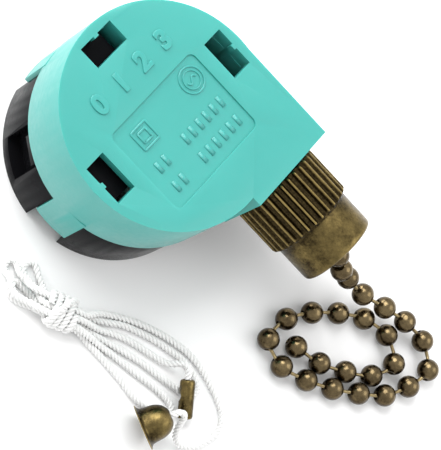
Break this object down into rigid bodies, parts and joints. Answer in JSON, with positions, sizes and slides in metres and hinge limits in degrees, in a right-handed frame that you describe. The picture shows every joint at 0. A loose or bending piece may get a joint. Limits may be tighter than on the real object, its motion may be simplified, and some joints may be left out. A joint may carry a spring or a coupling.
{
  "type": "pull chain switch",
  "caption": "Pull-chain rotary switch in a round two-part housing with a knurled cap nut, ball chain, and a spare pull cord with connector and bell.",
  "frame": {"origin": "centre of the round housing on the flat underside of the base", "axes": "+Z out through the cover's face, +X along the threaded neck, the way the chain is pulled, +Y to the housing's straight side"},
  "size_m": [0.0721, 0.0442, 0.021],
  "materials": {
    "cover_plastic": "satin moulded",
    "base_plastic": "glossy moulded",
    "antique_brass": "antiqued, worn bright on the edges",
    "neck_brass": "plain turned",
    "chain_brass": "antiqued, mottled",
    "chain_pins": "antiqued",
    "pin_steel": "ground",
    "spring_steel": "drawn wire",
    "white_nylon": "natural moulded",
    "contact_copper": "stamped",
    "cord_fabric": "twisted yarn"
  },
  "bodies": {
    "housing": {"cover": "cover_plastic", "base": "base_plastic", "neck_bushing": "neck_brass", "axle_pin": "pin_steel", "return_spring": "spring_steel", "detent_spring": "spring_steel", "terminal_l": "contact_copper", "terminal_1": "contact_copper", "terminal_2": "contact_copper", "terminal_3": "contact_copper", "wire_clamp_l": "spring_steel", "wire_clamp_1": "spring_steel", "wire_clamp_2": "spring_steel", "wire_clamp_3": "spring_steel"},
    "drum": {"chain_drum": "white_nylon", "drive_pawl": "white_nylon", "drum_beads": "chain_brass", "drum_links": "chain_pins"},
    "rotor": {"contact_rotor": "white_nylon", "rotor_contact": "contact_copper", "contact_spring": "spring_steel"},
    "plunger": {"detent_plunger": "pin_steel"},
    "chain_run": {"chain_beads": "chain_brass", "chain_links": "chain_pins"},
    "nut": {"cap_nut": "antique_brass"},
    "cord_set": {"pull_cord": "cord_fabric", "hank_knot": "cord_fabric", "bell_knot": "cord_fabric", "connector_knot": "cord_fabric"},
    "pull_bell": {"bell": "antique_brass"},
    "connector": {"chain_connector": "antique_brass"}
  },
  "joints": [
    {"name": "chain_pull", "type": "slide", "parent": "housing", "child": "chain_run", "axis": [1, 0, 0], "range_m": [0, 0.014], "stiffness_N_per_m": 150, "springref_m": -0.01},
    {"name": "drum_turn", "type": "hinge", "parent": "housing", "child": "drum", "pos_m": [0, 0, 0.0135], "axis": [0, 0, 1], "range_deg": [-98, 0]},
    {"name": "rotor_step", "type": "hinge", "parent": "housing", "child": "rotor", "pos_m": [0, 0, 0.0077], "axis": [0, 0, 1], "continuous": true},
    {"name": "detent_slide", "type": "slide", "parent": "housing", "child": "plunger", "axis": [-1, 0, 0], "range_m": [-0.0006, 0], "stiffness_N_per_m": 400, "springref_m": -0.0007, "deforming": ["detent_spring"]},
    {"name": "nut_spin", "type": "hinge", "parent": "housing", "child": "nut", "pos_m": [0.0233, 0.0086, 0.0135], "axis": [1, 0, 0], "continuous": true},
    {"name": "cord_lift", "type": "slide", "parent": "housing", "child": "cord_set", "axis": [0, 0, 1], "range_m": [0, 0.02]},
    {"name": "bell_spin", "type": "hinge", "parent": "cord_set", "child": "pull_bell", "pos_m": [0.03, -0.0223, 0.0048], "axis": [-0.3471, -0.8181, -0.4586], "continuous": true},
    {"name": "connector_spin", "type": "hinge", "parent": "cord_set", "child": "connector", "pos_m": [0.029, -0.0159, 0.0026], "axis": [0.6609, -0.6987, -0.2738], "continuous": true}
  ],
  "couplings": [
    {"joint": "drum_turn", "follows": "chain_pull", "rad_per_m": -116.28}
  ]
}
